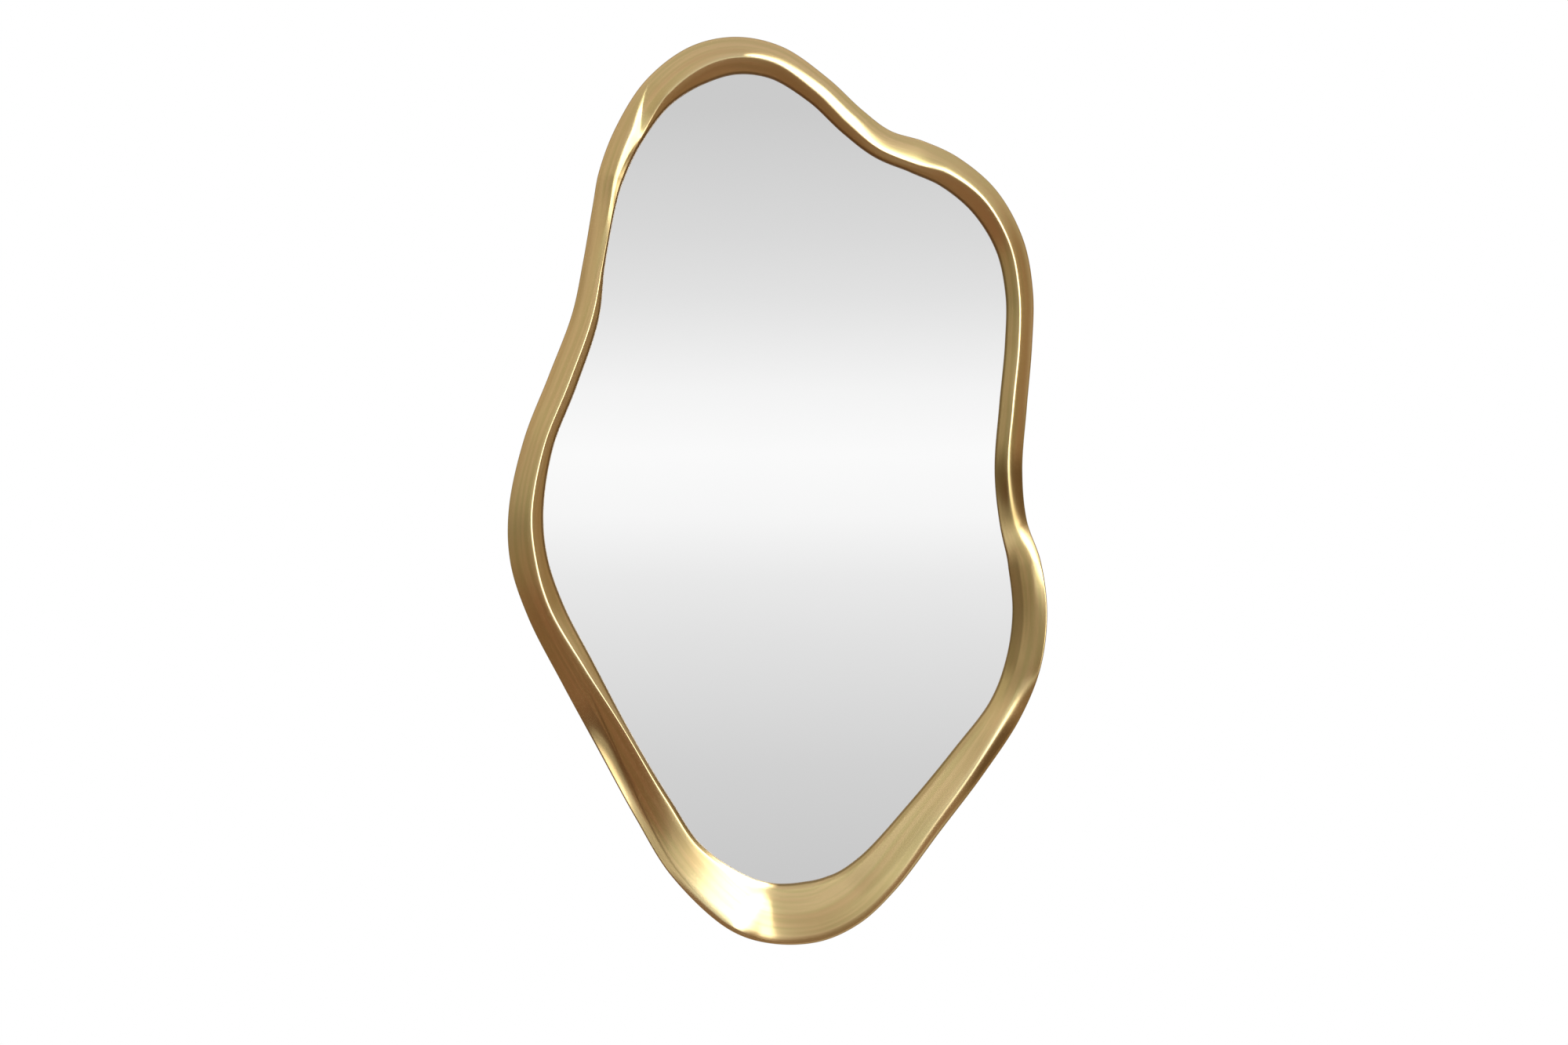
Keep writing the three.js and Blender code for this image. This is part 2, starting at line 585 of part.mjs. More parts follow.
/** D-shaped wire ring hanging from its bar, which lies along X at the origin. */
function ringGeometry() {
  const points = [];
  const addBend = (centreX, centreZ, radius, from, to, steps) => {
    for (let step = 0; step <= steps; step++) {
      const turn = THREE.MathUtils.lerp(from, to, step / steps);
      const x = centreX + radius * Math.cos(turn);
      points.push(new THREE.Vector3(x, 0, centreZ + radius * Math.sin(turn)));
    }
  };
  const cornerX = RING_HALF_WIDTH - RING_CORNER;
  addBend(cornerX, -RING_CORNER, RING_CORNER, Math.PI / 2, 0, 4);
  addBend(0, -RING_CORNER - RING_ARM, RING_HALF_WIDTH, 0, -Math.PI, 14);
  addBend(-cornerX, -RING_CORNER, RING_CORNER, Math.PI, Math.PI / 2, 4);

  const sections = points.map((point, index) => {
    const before = points.at(index - 1);
    const after = points[(index + 1) % points.length];
    const tangent = after.clone().sub(before).normalize();
    const inward = new THREE.Vector3(tangent.z, 0, -tangent.x);
    return Array.from({ length: RING_SIDES }, (_, side) => {
      const turn = 2 * Math.PI * (side + 0.5) / RING_SIDES;
      return point.clone()
        .addScaledVector(inward, RING_WIRE_RADIUS * Math.cos(turn))
        .add(new THREE.Vector3(0, RING_WIRE_RADIUS * Math.sin(turn), 0));
    });
  });
  return closedLoft(sections);
}

function makeHangers() {
  hangers.forEach(({ name, hinge, lean }) => {
    const strap = addPiece(`hanger_strap_${name}`, strapGeometry(), "zinc", hinge);
    const ring = addPiece(`hanger_ring_${name}`, ringGeometry(), "zinc", hinge);
    ring.position.y = HINGE_HEIGHT;
    strap.rotation.y = -lean;
    ring.rotation.y = -lean;
  });
}

// ---------------------------------------------------------------- wall bumpers

function makeBumpers() {
  const height = STANDOFF - SEAT_GAP;
  const profile = [
    [0, 0],
    [BUMPER_RADIUS, 0],
    [BUMPER_RADIUS, height * 0.45],
    [BUMPER_FACE_RADIUS, height],
    [0, height],
  ];
  bumpers.forEach(({ corner, centre }) => {
    const place = new THREE.Vector3(centre.x, SEAT_GAP, centre.z);
    addPiece(`bumper_${corner}`, turned(profile, 14), "rubber", place);
  });
}

// ---------------------------------------------------------------- assembly

makeFrame();
makeGlassStack();
makeBackingBoard();
makeScrews();
makeHangers();
makeBumpers();

const hangerMiddle = (hangers[0].hinge.x + hangers[1].hinge.x) / 2;
mirror.position.set(-hangerMiddle, -STANDOFF, -HANGER_HEIGHT);

const assembly = new THREE.Group();
assembly.add(mirror);

export default assembly;
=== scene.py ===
"""Looks of the irregular wall mirror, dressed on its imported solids.

Metres, +Z up. The mirror faces -Y and the wall is the plane Y = 0. The sections follow the mirror
as it is put together: frame, tape, plate, foam, board, screws, hanging loops, bumpers, studio.
"""

import json

import bpy
import numpy as np
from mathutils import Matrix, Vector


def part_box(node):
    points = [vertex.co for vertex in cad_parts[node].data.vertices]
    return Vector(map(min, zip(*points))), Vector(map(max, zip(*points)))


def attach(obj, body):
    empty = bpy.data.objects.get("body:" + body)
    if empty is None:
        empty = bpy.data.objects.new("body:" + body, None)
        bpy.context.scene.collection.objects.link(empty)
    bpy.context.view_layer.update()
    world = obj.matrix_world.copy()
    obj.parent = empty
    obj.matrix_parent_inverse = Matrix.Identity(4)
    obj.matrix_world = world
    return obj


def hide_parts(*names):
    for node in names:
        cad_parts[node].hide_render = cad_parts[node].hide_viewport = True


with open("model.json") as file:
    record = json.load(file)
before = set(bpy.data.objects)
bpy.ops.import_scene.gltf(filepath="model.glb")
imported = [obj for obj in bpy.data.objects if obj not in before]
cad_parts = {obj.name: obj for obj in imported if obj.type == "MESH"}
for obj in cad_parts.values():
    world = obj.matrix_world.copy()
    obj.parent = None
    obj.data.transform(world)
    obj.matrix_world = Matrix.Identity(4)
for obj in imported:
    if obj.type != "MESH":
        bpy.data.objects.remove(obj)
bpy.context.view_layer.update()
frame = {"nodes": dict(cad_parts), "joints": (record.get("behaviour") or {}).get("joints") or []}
nodes = frame["nodes"]

# ---------------------------------------------------------------- frame
# A cast metal band, finished by hand: brushed along its length, stained a warm antique gold, with
# painted highlight on the ridges and painted shade in the hollows. Its section changes all the way
# round. Behind the face are the lip and rabbet for the plate, the ledge for the board, and a cored
# channel with solid pads.

# clockwise from the top: outer edge x and z, width of the band, how far the rim is raised, outer
# ridge's place and rise, inner ridge's, and how much the face bows out; millimetres as drawn
stations = np.array([
    [-47, 508, 42, 0, 0.25, 0, 0.6, 10.5, 1],
    [5, 497, 38, 0, 0.3, 1, 0.58, 9, 0.6],
    [56, 462, 34, 0, 0.3, 3, 0.67, 7.5, 0],
    [95, 426, 34, 0, 0.3, 3, 0.72, 7.5, 0],
    [126, 403, 34.5, 0, 0.3, 1, 0.76, 9.5, -0.6],
    [164, 391, 38, 0, 0.3, 0, 0.77, 9.5, -0.8],
    [202, 373, 37.5, 0, 0.25, 0, 0.62, 10, 0],
    [245, 336, 36.5, 0, 0.25, 0, 0.54, 10.5, 0.4],
    [275, 281, 33, 0, 0.25, 0, 0.55, 10, 0.6],
    [286, 222, 31, 0, 0.25, 0, 0.57, 9.5, 0.6],
    [285, 163, 30.5, 0, 0.25, 0, 0.54, 9, 0.6],
    [279, 92, 31, 0, 0.22, 0, 0.56, 8.5, 0.6],
    [274, 22, 31, 0, 0.3, 0, 0.55, 5, 0.6],
    [279, -34, 30.5, 1.2, 0.3, 0, 0.45, 2, 0.4],
    [294, -79, 36.5, 7, 0.3, 0, 0.3, 2.2, 0.2],
    [301, -136, 38, 11, 0.3, 0, 0.5, 0.8, 0],
    [294, -197, 39, 11, 0.4, 0, 0.7, 0.8, 0],
    [272, -254, 38.5, 4, 0.43, 3.4, 0.82, 0.5, 0],
    [232, -316, 43.5, 1, 0.28, 5.4, 0.88, 0.8, 0.2],
    [183, -381, 47, 0, 0.17, 5.4, 0.9, 1.2, 0.4],
    [131, -449, 55, 0, 0.07, 4.3, 0.92, 1.5, 0.6],
    [91, -486, 64, 0, 0.055, 3.6, 0.93, 1.6, 0.6],
    [46, -506, 69, 0, 0.05, 3.4, 0.93, 1.8, 0.6],
    [-11, -507, 67, 2.5, 0.055, 2.8, 0.93, 1.6, 0],
    [-56, -490, 63, 10, 0.1, 2.4, 0.92, 0.8, 0],
    [-119, -431, 48, 7, 0.19, 0.3, 0.92, 1.2, 0],
    [-159, -367, 44, 1.5, 0.27, -1.8, 0.92, 3, 0],
    [-200, -292, 41, 1.5, 0.45, -5.8, 0.92, 7.5, 0],
    [-242, -215, 42, 0, 0.55, -0.5, 0.76, 8.5, 0.2],
    [-279, -143, 42, 0, 0.34, 0, 0.66, 9.5, 0.4],
    [-299, -82, 42, 0, 0.34, 0, 0.72, 10, 0.4],
    [-301, -22, 39, 0, 0.34, 0, 0.71, 10, 0.4],
    [-284, 57, 34, 0, 0.34, 0, 0.75, 9, 0.4],
    [-256, 129, 33.5, 0, 0.34, 0, 0.77, 8.5, 0.4],
    [-230, 198, 30.5, 0, 0.4, 0, 0.8, 7.5, 0.4],
    [-218, 255, 25, 0, 0.6, 0.5, 0.92, 3, 0.4],
    [-207, 319, 25.5, 0, 0.74, 1.5, 0.95, 0.8, 0],
    [-200, 357, 29.5, 0, 0.62, 2.2, 0.95, 0.8, 0],
    [-181, 407, 34, 0, 0.52, 4, 0.93, 1.5, 0],
    [-147, 460, 39.5, 0, 0.3, 1.2, 0.78, 6, 0.4],
    [-98, 497, 44.5, 0, 0.14, 0, 0.66, 9.5, 0.8],
])
rows_per_station = 22
rim_height, lip_back, lip_front = 12.0, 12.5, 15.5
ledge_height, rabbet, rebate = 5.0, 7.0, 13.0
edge_round, arris_round, side_draft = 1.2, 0.6, 1.0
ridge_softness, crown, hollow = 0.2, 0.7, 0.3
outer_wall, inner_wall, face_wall, core_draft, core_full_width = 4.0, 4.0, 5.0, 1.0, 14.0
pad_length, pad_fade = 26.0, 18.0
standoff = 6.0


def loop_edge(position):
    """Outer edge and its direction at fractional stations.

    A closed centripetal curve: from one station to the next it is the cubic whose end slopes come
    from knots spaced by the square root of the distance between stations.
    """
    index = np.floor(position).astype(int)
    t = (position - index)[:, None]
    edge = stations[:, :2]
    p0, p1, p2, p3 = (edge[(index + step) % len(edge)] for step in (-1, 0, 1, 2))
    d0, d1, d2 = (
        np.sqrt(np.linalg.norm(b - a, axis=1))[:, None] for a, b in ((p0, p1), (p1, p2), (p2, p3))
    )
    slope1 = ((p1 - p0) / d0 - (p2 - p0) / (d0 + d1) + (p2 - p1) / d1) * d1
    slope2 = ((p2 - p1) / d1 - (p3 - p1) / (d1 + d2) + (p3 - p2) / d2) * d1
    cubic = 2 * p1 - 2 * p2 + slope1 + slope2
    square = 3 * p2 - 3 * p1 - 2 * slope1 - slope2
    point = p1 + slope1 * t + square * t**2 + cubic * t**3
    return point, slope1 + 2 * square * t + 3 * cubic * t**2


def along_stations(column, position):
    """One column at fractional stations: a cubic with the mean slope of its neighbours."""
    index = np.floor(position).astype(int)
    t = position - index
    v0, v1, v2, v3 = (stations[(index + step) % len(stations), column] for step in (-1, 0, 1, 2))
    return ((2 * t**3 - 3 * t**2 + 1) * v1 + (t**3 - 2 * t**2 + t) * (v2 - v0) / 2
            + (3 * t**2 - 2 * t**3) * v2 + (t**3 - t**2) * (v3 - v1) / 2)


def smoothstep(low, high, value):
    """0 below low, 1 above high, and 3 t^2 - 2 t^3 between."""
    t = np.clip((value - low) / (high - low), 0, 1)
    return t * t * (3 - 2 * t)


def tent(share, ridge):
    """Soft tent over the band: the mean of its two sides less their softened difference.

    The outer side is crowned and the inner side hollowed, by a share of t (1 - t).
    """
    up, down = share / ridge, (1 - share) / (1 - ridge)
    up = up + crown * up * np.maximum(1 - up, 0)
    down = down - hollow * down * np.maximum(1 - down, 0)
    return (up + down - np.hypot(up - down, ridge_softness)) / 2


def relief(share, rim, place_a, rise_a, place_b, rise_b, bow):
    """Height of the face: a slope from rim to lip, two tents and a sine bow, added up."""
    return ((rim_height + rim) * (1 - share) + lip_front * share + rise_a * tent(share, place_a)
            + rise_b * tent(share, place_b) + bow * np.sin(np.pi * share))


def eased(before, corner, after, size=0.25):
    """Two points that cut a corner of the section off, each a short way along its side."""
    def towards(end):
        side = end - corner
        length = np.maximum(np.linalg.norm(side, axis=-1, keepdims=True), 1e-6)
        return corner + side / length * np.minimum(size, length * 0.4)
    return [towards(before), towards(after)]


def surface(name, grid, poles=False):
    """Mesh object over a grid of points, rows by columns by xyz, with smooth shading.

    Each cell is a quad whose normal is columns' direction cross rows' direction. The last column
    is joined to the first, and so are the rows, unless the first and last of them are poles:
    single points with fans of triangles.
    """
    rows, columns = grid.shape[:2]
    index = np.arange(rows * columns).reshape(rows, columns)
    points = grid.reshape(-1, 3)
    low = index[1:-2] if poles else index
    high = index[2:-1] if poles else np.roll(index, -1, axis=0)
    low_next, high_next = np.roll(low, -1, axis=1), np.roll(high, -1, axis=1)
    quads = np.stack([low, low_next, high_next, high], axis=-1).reshape(-1, 4)
    loops, starts = quads.ravel(), np.arange(len(quads)) * 4
    if poles:
        first, last = index[1], index[-2]
        fan_low = np.stack([np.full(columns, index[0, 0]), np.roll(first, -1), first], axis=-1)
        fan_high = np.stack([np.full(columns, index[-1, 0]), last, np.roll(last, -1)], axis=-1)
        fans = np.concatenate([fan_low, fan_high])
        starts = np.concatenate([starts, len(loops) + np.arange(len(fans)) * 3])
        loops = np.concatenate([loops, fans.ravel()])
        used = np.concatenate([[index[0, 0]], index[1:-1].ravel(), [index[-1, 0]]])
        renumber = np.zeros(rows * columns, int)
        renumber[used] = np.arange(len(used))
        points, loops = points[used], renumber[loops]
    mesh = bpy.data.meshes.new(name)
    mesh.vertices.add(len(points))
    mesh.vertices.foreach_set("co", points.astype(np.float32).ravel())
    mesh.loops.add(len(loops))
    mesh.loops.foreach_set("vertex_index", loops.astype(np.int32))
    mesh.polygons.add(len(starts))
    mesh.polygons.foreach_set("loop_start", starts.astype(np.int32))
    mesh.update(calc_edges=True)
    mesh.validate()
    mesh.shade_smooth()
    piece = bpy.data.objects.new(name, mesh)
    bpy.context.scene.collection.objects.link(piece)
    return piece


def keep_values(piece, name, kind, values):
    """Stores one value or vector per point of the piece, for its material to read."""
    attribute = piece.data.attributes.new(name, kind, "POINT")
    field = "vector" if kind == "FLOAT_VECTOR" else "value"
    attribute.data.foreach_set(field, np.ascontiguousarray(values, np.float32).ravel())


position = np.arange(len(stations) * rows_per_station) / rows_per_station
edge, heading = loop_edge(position)
drawn_low, drawn_size = edge.min(axis=0), np.ptp(edge, axis=0)
frame_low, frame_high = (np.array(corner) * 1000 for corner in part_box("frame"))
stretch = (frame_high - frame_low)[[0, 2]] / drawn_size
edge = (edge - drawn_low) * stretch + frame_low[[0, 2]]
heading = heading * stretch
inward = np.stack([heading[:, 1], -heading[:, 0]], axis=-1)
inward /= np.linalg.norm(inward, axis=1, keepdims=True)
width = along_stations(2, position)
ridges = [along_stations(column, position) for column in range(3, 9)]

steps = np.linalg.norm(np.roll(edge, -1, axis=0) - edge, axis=1)
run = np.concatenate([[0], np.cumsum(steps)[:-1]])
loop_length = steps.sum()

# cast pads stand where a bumper or a hanger is screwed or stuck on
bumper_corners = ("upper_left", "upper_right", "lower_right", "lower_left")
on_pads = [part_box(f"bumper_{corner}") for corner in bumper_corners]
on_pads += [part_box(f"hanger_screw_{side}_{place}")
            for side in ("left", "right") for place in ("upper", "lower")]
pad_middles = np.array([[(low.x + high.x) * 500, (low.z + high.z) * 500] for low, high in on_pads])
pad_middles = np.concatenate([pad_middles[:4], pad_middles[4:].reshape(2, 2, 2).mean(axis=1)])
pad_runs = run[np.linalg.norm(edge[:, None] - pad_middles[None], axis=2).argmin(axis=0)]
apart = np.abs(run[:, None] - pad_runs[None])
apart = np.minimum(apart, loop_length - apart)

core_outer = np.full_like(width, outer_wall + side_draft)
core_inner = np.maximum(width - rebate - inner_wall, core_outer + 3 * core_draft)
over_core = core_outer + (core_inner - core_outer) * np.linspace(0, 1, 5)[:, None]
core_depth = np.maximum(0, relief(over_core / width, *ridges).min(axis=0) - face_wall)
core_depth *= smoothstep(core_full_width / 2, core_full_width, core_inner - core_outer)
core_depth *= smoothstep(pad_length / 2, pad_length / 2 + pad_fade, apart).min(axis=1)


def section_point(across, forward):
    """Point of every section: across from the outer edge, forward of the back plane."""
    return np.stack(np.broadcast_arrays(across, forward, width)[:2], axis=-1)


# the upper left crest runs out in a sharp fold: station, the shares of the band where its two
# edges lie, and their heights in millimetres
folds = np.array([
    [35.4, 0.88, 0.96, 0, 0], [36, 0.74, 0.88, 0.7, 0.6], [37, 0.58, 0.76, 1.6, 1.4],
    [37.6, 0.52, 0.82, 1.2, 1.1], [38, 0.48, 0.86, 0.9, 0.5], [38.25, 0.4, 0.66, 1.0, -0.6],
    [38.5, 0.29, 0.47, 0.9, -0.9], [38.75, 0.2, 0.3, 0.7, -0.7], [38.95, 0.14, 0.18, 0.35, -0.35],
    [39.1, 0.12, 0.13, 0, 0],
])
fold_foot = 9.0
fold_start, fold_end, start_rise, end_rise = (
    np.interp(position, folds[:, 0], column) for column in folds[:, 1:].T
)


def fold(share):
    """Height the fold adds: up over its foot to one edge, on to the other, out at the glass."""
    rising = start_rise * np.clip(1 + (share - fold_start) * width / fold_foot, 0, 1)
    between = start_rise + (end_rise - start_rise) * (share - fold_start) / (fold_end - fold_start)
    ending = end_rise * (1 - share) / (1 - fold_end)
    return np.where(share < fold_start, rising, np.where(share < fold_end, between, ending))


face_stops = [edge_round / width, ridges[1], ridges[3], 1 - arris_round / width]
face_shares = np.concatenate([
    start + (end - start) * np.linspace(0, 1, 18, endpoint=False)[:, None]
    for start, end in zip(face_stops, face_stops[1:])
] + [face_stops[-1][None]])
face_height = relief(face_shares, *ridges) + fold(face_shares)
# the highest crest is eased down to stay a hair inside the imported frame's box
room_in_front = -frame_low[1] - standoff - 0.01
face_height *= np.minimum(1, room_in_front / face_height.max(axis=0))
face = np.stack([face_shares * width, face_height], axis=-1)
quarter = np.linspace(0, np.pi / 2, 6)[:-1, None]
outer_top = relief(0 * width, *ridges) - edge_round
outer_edge = np.stack([
    edge_round * (1 - np.cos(quarter)) + 0 * width,
    outer_top + (face[0, :, 1] - outer_top) * np.sin(quarter),
], axis=-1)
inner_top = relief(1 + 0 * width, *ridges) - arris_round
quarter = np.linspace(0, np.pi / 2, 5)[1:, None]
arris = np.stack([
    width - arris_round + arris_round * np.sin(quarter),
    inner_top + (face[-1, :, 1] - inner_top) * np.cos(quarter),
], axis=-1)

back_corners = [section_point(*corner) for corner in [
    (width, lip_back), (width - rabbet, lip_back), (width - rabbet, ledge_height),
    (width - rebate, ledge_height), (width - rebate, 0), (core_inner, 0),
    (core_inner - core_draft, core_depth), (core_outer + core_draft, core_depth), (core_outer, 0),
    (side_draft, 0),
]]
ring = [arris[-1], *back_corners, outer_edge[0]]
back = np.array([
    point for before, corner, after in zip(ring, ring[1:], ring[2:])
    for point in eased(before, corner, after)
])
section = np.concatenate([outer_edge, face, arris, back])
girth = np.linalg.norm(np.diff(section, axis=0, prepend=section[:1]), axis=-1).cumsum(axis=0)
flat = edge + inward * section[..., :1]
points = np.stack([flat[..., 0], -section[..., 1] - standoff, flat[..., 1]], axis=-1) / 1000

band = surface("frame_band", points.transpose(1, 0, 2))

# what the material reads: the way round the loop as a circle with the girth on its third axis, a
# map of the same for the brushing's direction, the painted highlight on the ridges and flare, the
# front, and the painted shade
turn = 2 * np.pi * run / loop_length
round_loop = loop_length / (2 * np.pi) / 1000
keep_values(band, "along_band", "FLOAT_VECTOR", np.stack([
    np.broadcast_to(np.cos(turn) * round_loop, girth.shape),
    np.broadcast_to(np.sin(turn) * round_loop, girth.shape),
    girth / 1000,
], axis=-1).transpose(1, 0, 2))
face_share = section[..., 0] / width
front_rows = len(outer_edge) + len(face) + len(arris)
is_front = (np.arange(len(section)) < front_rows)[:, None] & np.ones(len(width), bool)
# painted highlight on each ridge: all on its line, nothing a sixth of the band away or where low
ridge_highlight = np.maximum(
    smoothstep(0.16, 0.0, np.abs(face_share - ridges[1])) * smoothstep(1, 6, ridges[2]),
    smoothstep(0.16, 0.0, np.abs(face_share - ridges[3])) * smoothstep(2, 8, ridges[4]),
)
last_step = np.linalg.norm(section[:1] - section[-1:], axis=-1)
girth_round = np.concatenate([girth, girth[-1:] + last_step]).T
girth_round = np.concatenate([girth_round, girth_round[:1]])
run_round = np.broadcast_to(np.append(run, loop_length)[:, None], girth_round.shape)
brush_map = np.stack([girth_round, run_round], axis=-1) / 1000
corners = [brush_map[:-1, :-1], brush_map[:-1, 1:], brush_map[1:, 1:], brush_map[1:, :-1]]
uv_layer = band.data.uv_layers.new(name="brush_map")
uv_layer.data.foreach_set("uv", np.stack(corners, axis=2).astype(np.float32).ravel())
# painted highlight on the flare at the lower left, where the face catches the strip, as on the
# ridges
flare_highlight = smoothstep(23.3, 23.6, position) * smoothstep(25.0, 24.5, position)
keep_values(band, "ridge_highlight", "FLOAT", (np.maximum(ridge_highlight, flare_highlight) * is_front).T)
keep_values(band, "front", "FLOAT", is_front.T)

# painted shade at the glass edge, along the outer arris and in a line down the lower left valley
across, from_glass = section[..., 0], width - section[..., 0]
painted_shade = np.maximum(smoothstep(3.2, 0.9, from_glass), 0.6 * smoothstep(1.1, 0.3, across))
# painted shade in a thin line along the lower left crease
in_crease = smoothstep(23, 23.8, position) * smoothstep(27.9, 27.2, position)
crease_shade = smoothstep(1.8, 0.3, np.abs(across - ridges[1] * width)) * in_crease
painted_shade = np.maximum(painted_shade, 0.7 * crease_shade)
# patches of painted shade where faces fall darker: stations from and to, shares of the band from
# and to, and how dark
for start, end, low_share, high_share, depth in (
    (11.9, 13.0, -0.1, 1.1, 0.95), (13.8, 16.2, 0.72, 1.1, 0.7), (17.2, 18.2, 0.1, 0.33, 0.85),
    (17.6, 20.4, 0.4, 1.1, 0.25), (24.8, 25.4, -0.1, 0.9, 0.25), (26.5, 27.4, -0.1, 0.42, 0.8),
    (14.4, 16.6, 0.1, 0.75, 0.15), (36.0, 37.7, 0.84, 1.1, 0.6), (25.3, 26.1, -0.1, 0.14, 0.45),
):
    patch = smoothstep(start - 0.4, start + 0.2, position)
    patch = patch * smoothstep(end + 0.4, end - 0.2, position)
    patch = patch * smoothstep(low_share - 0.08, low_share, face_share)
    patch = patch * smoothstep(high_share + 0.04, high_share - 0.04, face_share)
    painted_shade = np.maximum(painted_shade, depth * patch)
keep_values(band, "painted_shade", "FLOAT", (painted_shade * is_front).T)


def add_node(tree, kind, inputs=None, **settings):
    """One node of a tree. Its inputs, by name or number, are values or other nodes' sockets."""
    made = tree.nodes.new(kind)
    for name, value in settings.items():
        setattr(made, name, value)
    for name, value in (inputs or {}).items():
        if isinstance(value, bpy.types.NodeSocket):
            tree.links.new(value, made.inputs[name])
        else:
            made.inputs[name].default_value = value
    return made


def sum_up(tree, operation, *values, clamp=False):
    """A Math node's result."""
    made = add_node(tree, "ShaderNodeMath", dict(enumerate(values)),
                    operation=operation, use_clamp=clamp)
    return made.outputs[0]


def spread(tree, value, low, high, to_low=0.0, to_high=1.0):
    """A value carried from one range to another, held at its ends."""
    inputs = {"Value": value, "From Min": low, "From Max": high,
              "To Min": to_low, "To Max": to_high}
    made = add_node(tree, "ShaderNodeMapRange", inputs, interpolation_type="SMOOTHSTEP")
    return made.outputs["Result"]


def blend_colour(tree, share, first, second):
    """Two colours mixed by a share: a colour Mix node's inputs are numbers 0, 6 and 7."""
    inputs = {0: share, 6: first, 7: second}
    return add_node(tree, "ShaderNodeMix", inputs, data_type="RGBA").outputs[2]


def paint(red, green, blue):
    """A colour given as it looks on screen, 0 to 255, turned into light."""
    value = np.array([red, green, blue]) / 255
    light = np.where(value <= 0.04045, value / 12.92, ((value + 0.055) / 1.055) ** 2.4)
    return (*light.tolist(), 1.0)


def effect_group(name, inputs, outputs):
    """An empty shader node group with named sockets, and its two end nodes."""
    group = bpy.data.node_groups.new(name, "ShaderNodeTree")
    for socket, kind, value in inputs:
        made = group.interface.new_socket(name=socket, in_out="INPUT", socket_type=kind)
        if value is not None:
            made.default_value = value
    for socket, kind in outputs:
        group.interface.new_socket(name=socket, in_out="OUTPUT", socket_type=kind)
    return group, group.nodes.new("NodeGroupInput"), group.nodes.new("NodeGroupOutput")


def make_brushing():
    """Brushed streaks: noise of the given pitch on the third axis, drawn out over the others."""
    group, given, result = effect_group(
        "brushing",
        [("Vector", "NodeSocketVector", None), ("Length", "NodeSocketFloat", 0.05),
         ("Pitch", "NodeSocketFloat", 0.0006)],
        [("Fine", "NodeSocketFloat"), ("Broad", "NodeSocketFloat")],
    )
    along = sum_up(group, "DIVIDE", 1.0, given.outputs["Length"])
    across = sum_up(group, "DIVIDE", 1.0, given.outputs["Pitch"])
    scale = add_node(group, "ShaderNodeCombineXYZ", {0: along, 1: along, 2: across}).outputs[0]
    squeezed = add_node(group, "ShaderNodeVectorMath", {0: given.outputs["Vector"], 1: scale},
                        operation="MULTIPLY").outputs[0]
    fine = add_node(group, "ShaderNodeTexNoise",
                    {"Vector": squeezed, "Scale": 1.0, "Detail": 1.0, "Roughness": 0.5})
    broad = add_node(group, "ShaderNodeTexNoise",
                     {"Vector": squeezed, "Scale": 0.3, "Detail": 1.0, "Roughness": 0.5})
    group.links.new(fine.outputs[0], result.inputs["Fine"])
    group.links.new(broad.outputs[0], result.inputs["Broad"])
    return group


def make_mottling():
    """Soft clouds and small specks from two noises of the given sizes."""
    group, given, result = effect_group(
        "mottling",
        [("Vector", "NodeSocketVector", None), ("Cloud", "NodeSocketFloat", 0.08),
         ("Speck", "NodeSocketFloat", 0.0015)],
        [("Clouds", "NodeSocketFloat"), ("Specks", "NodeSocketFloat")],
    )
    cloud_scale = sum_up(group, "DIVIDE", 1.0, given.outputs["Cloud"])
    speck_scale = sum_up(group, "DIVIDE", 1.0, given.outputs["Speck"])
    cloud = add_node(group, "ShaderNodeTexNoise", {
        "Vector": given.outputs["Vector"], "Scale": cloud_scale, "Detail": 3.0, "Roughness": 0.55})
    speck = add_node(group, "ShaderNodeTexNoise", {
        "Vector": given.outputs["Vector"], "Scale": speck_scale, "Detail": 2.0, "Roughness": 0.6})
    group.links.new(spread(group, cloud.outputs[0], 0.3, 0.7), result.inputs["Clouds"])
    group.links.new(spread(group, speck.outputs[0], 0.62, 0.74), result.inputs["Specks"])
    return group


brushing, mottling = make_brushing(), make_mottling()


def new_material(name):
    """An empty material with its Principled shader linked up."""
    material = bpy.data.materials.new(name)
    material.use_nodes = True
    tree = material.node_tree
    return material, tree, tree.nodes["Principled BSDF"]


def use_group(tree, group, inputs):
    """A group placed in a material, with its own values."""
    return add_node(tree, "ShaderNodeGroup", inputs, node_tree=group)


def read_value(tree, name, output="Fac"):
    """A value stored on the piece's points."""
    return add_node(tree, "ShaderNodeAttribute", attribute_name=name).outputs[output]


